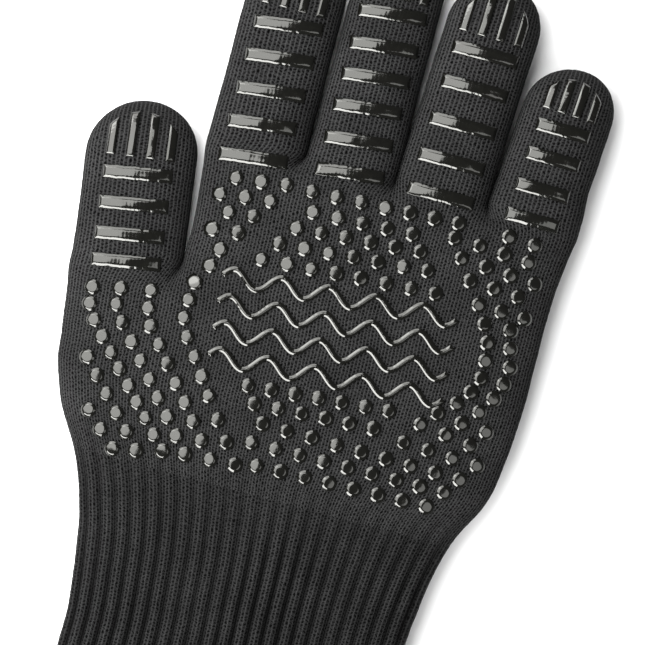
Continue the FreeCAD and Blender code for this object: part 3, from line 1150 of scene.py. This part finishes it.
# Rectangular lights: their places from the picture's middle, to its right, to its top and out of it
# towards the camera, then width, height and radiance.
LIGHTS = {
    "key_light": (-0.33, 0.17, 0.50, 0.68, 0.72, 6.5),
    "edge_light": (-0.45, -0.62, 0.36, 0.80, 0.36, 18.0),
    "top_light": (-0.30, 0.66, 0.36, 0.95, 0.44, 6.0),
    "fill_light": (0.34, -0.26, 0.58, 0.40, 0.40, 2.6),
}


def make_camera():
    data = bpy.data.cameras.new("camera")
    camera = in_scene("camera", data)
    camera.location = VIEW_CENTRE + Vector((0.0, 0.0, VIEW_HEIGHT))
    camera.rotation_euler = (0.0, 0.0, VIEW_TURN)
    data.sensor_width = SENSOR
    data.lens = SENSOR * VIEW_HEIGHT / VIEW_WIDTH
    bpy.context.scene.camera = camera


def make_light(name, right, up, out, width, height, radiance):
    """A softbox that faces the glove."""
    data = bpy.data.lights.new(name, "AREA")
    data.shape = "RECTANGLE"
    data.size = width
    data.size_y = height
    data.energy = radiance * math.pi * width * height
    light = in_scene(name, data)
    c, s = math.cos(VIEW_TURN), math.sin(VIEW_TURN)
    place = Vector((right * c - up * s, right * s + up * c, out))
    light.location = VIEW_CENTRE + place
    light.rotation_euler = place.to_track_quat("Z", "Y").to_euler()


def make_floor():
    mesh = bpy.data.meshes.new("floor")
    corners = [(x * FLOOR_REACH, y * FLOOR_REACH, 0.0) for x, y in ((-1, -1), (1, -1), (1, 1), (-1, 1))]
    mesh.from_pydata(corners, [], [(0, 1, 2, 3)])
    mesh.materials.append(floor_material())
    in_scene("floor", mesh)


def make_world():
    world = bpy.data.worlds.new("studio")
    world.use_nodes = True
    sky = world.node_tree.nodes["Background"]
    sky.inputs["Color"].default_value = (1.0, 1.0, 1.0, 1.0)
    sky.inputs["Strength"].default_value = 0.15
    bpy.context.scene.world = world


def make_studio():
    bpy.context.scene.view_settings.view_transform = "Standard"
    make_camera()
    make_floor()
    make_world()
    for name, values in LIGHTS.items():
        make_light(name, *values)


# ---- The glove ----
def make_glove():
    jersey = knit_material("charcoal_jersey", 0.0004, 0.031)
    rib = knit_material("charcoal_rib", 0.0003, 0.024, 1.2)
    cotton = knit_material("cotton_liner", 0.06, 0.3, 1.5)
    silicone = silicone_material()
    thread = thread_material()
    patches = [
        flat_patch("hand", MOUTH_Y, WEB_Y, hand_row, 0),
        flat_patch("palm", WEB_Y, CROTCH_Y, palm_row, THUMB_COLUMNS),
    ]
    patches += [finger_patch(name) for name in FINGER_NAMES]

    knit = build_surface(patches, 1)
    strength, groove = rib_shape(knit)
    outer = knit.points + knit.normals * relief(knit, strength, groove)[:, None]
    # Its last value, the groove depth times the rib strength, paints shade into the cuff's grooves.
    layer = Layer(knit, outer, knit.points - knit.normals * KNIT_WALL, groove * strength)
    knit_layer(patches, layer, (jersey, "jersey_knit"), (rib, "rib_knit"), "knit_layer", KNIT_NODES)

    lining = build_surface(patches, LINER_STEP)
    depths = (KNIT_WALL + LINER_GAP, KNIT_WALL + LINER_GAP + LINER_WALL)
    layer = Layer(lining, *(lining.points - lining.normals * depth for depth in depths), None)
    cotton_look = (cotton, "cotton_liner")
    knit_layer(patches, layer, cotton_look, cotton_look, "lining", LINER_NODES)

    hand = patches[0]
    hem_band(hand, Layer(knit, outer, knit.points - knit.normals * depths[1], None), rib)
    overlock(hand, depths[1], thread)

    ground = Ground(knit, outer)
    for name in FINGER_NAMES:
        finger_silicone(name, ground, silicone)
    palm_silicone(ground, silicone)


make_studio()
make_glove()
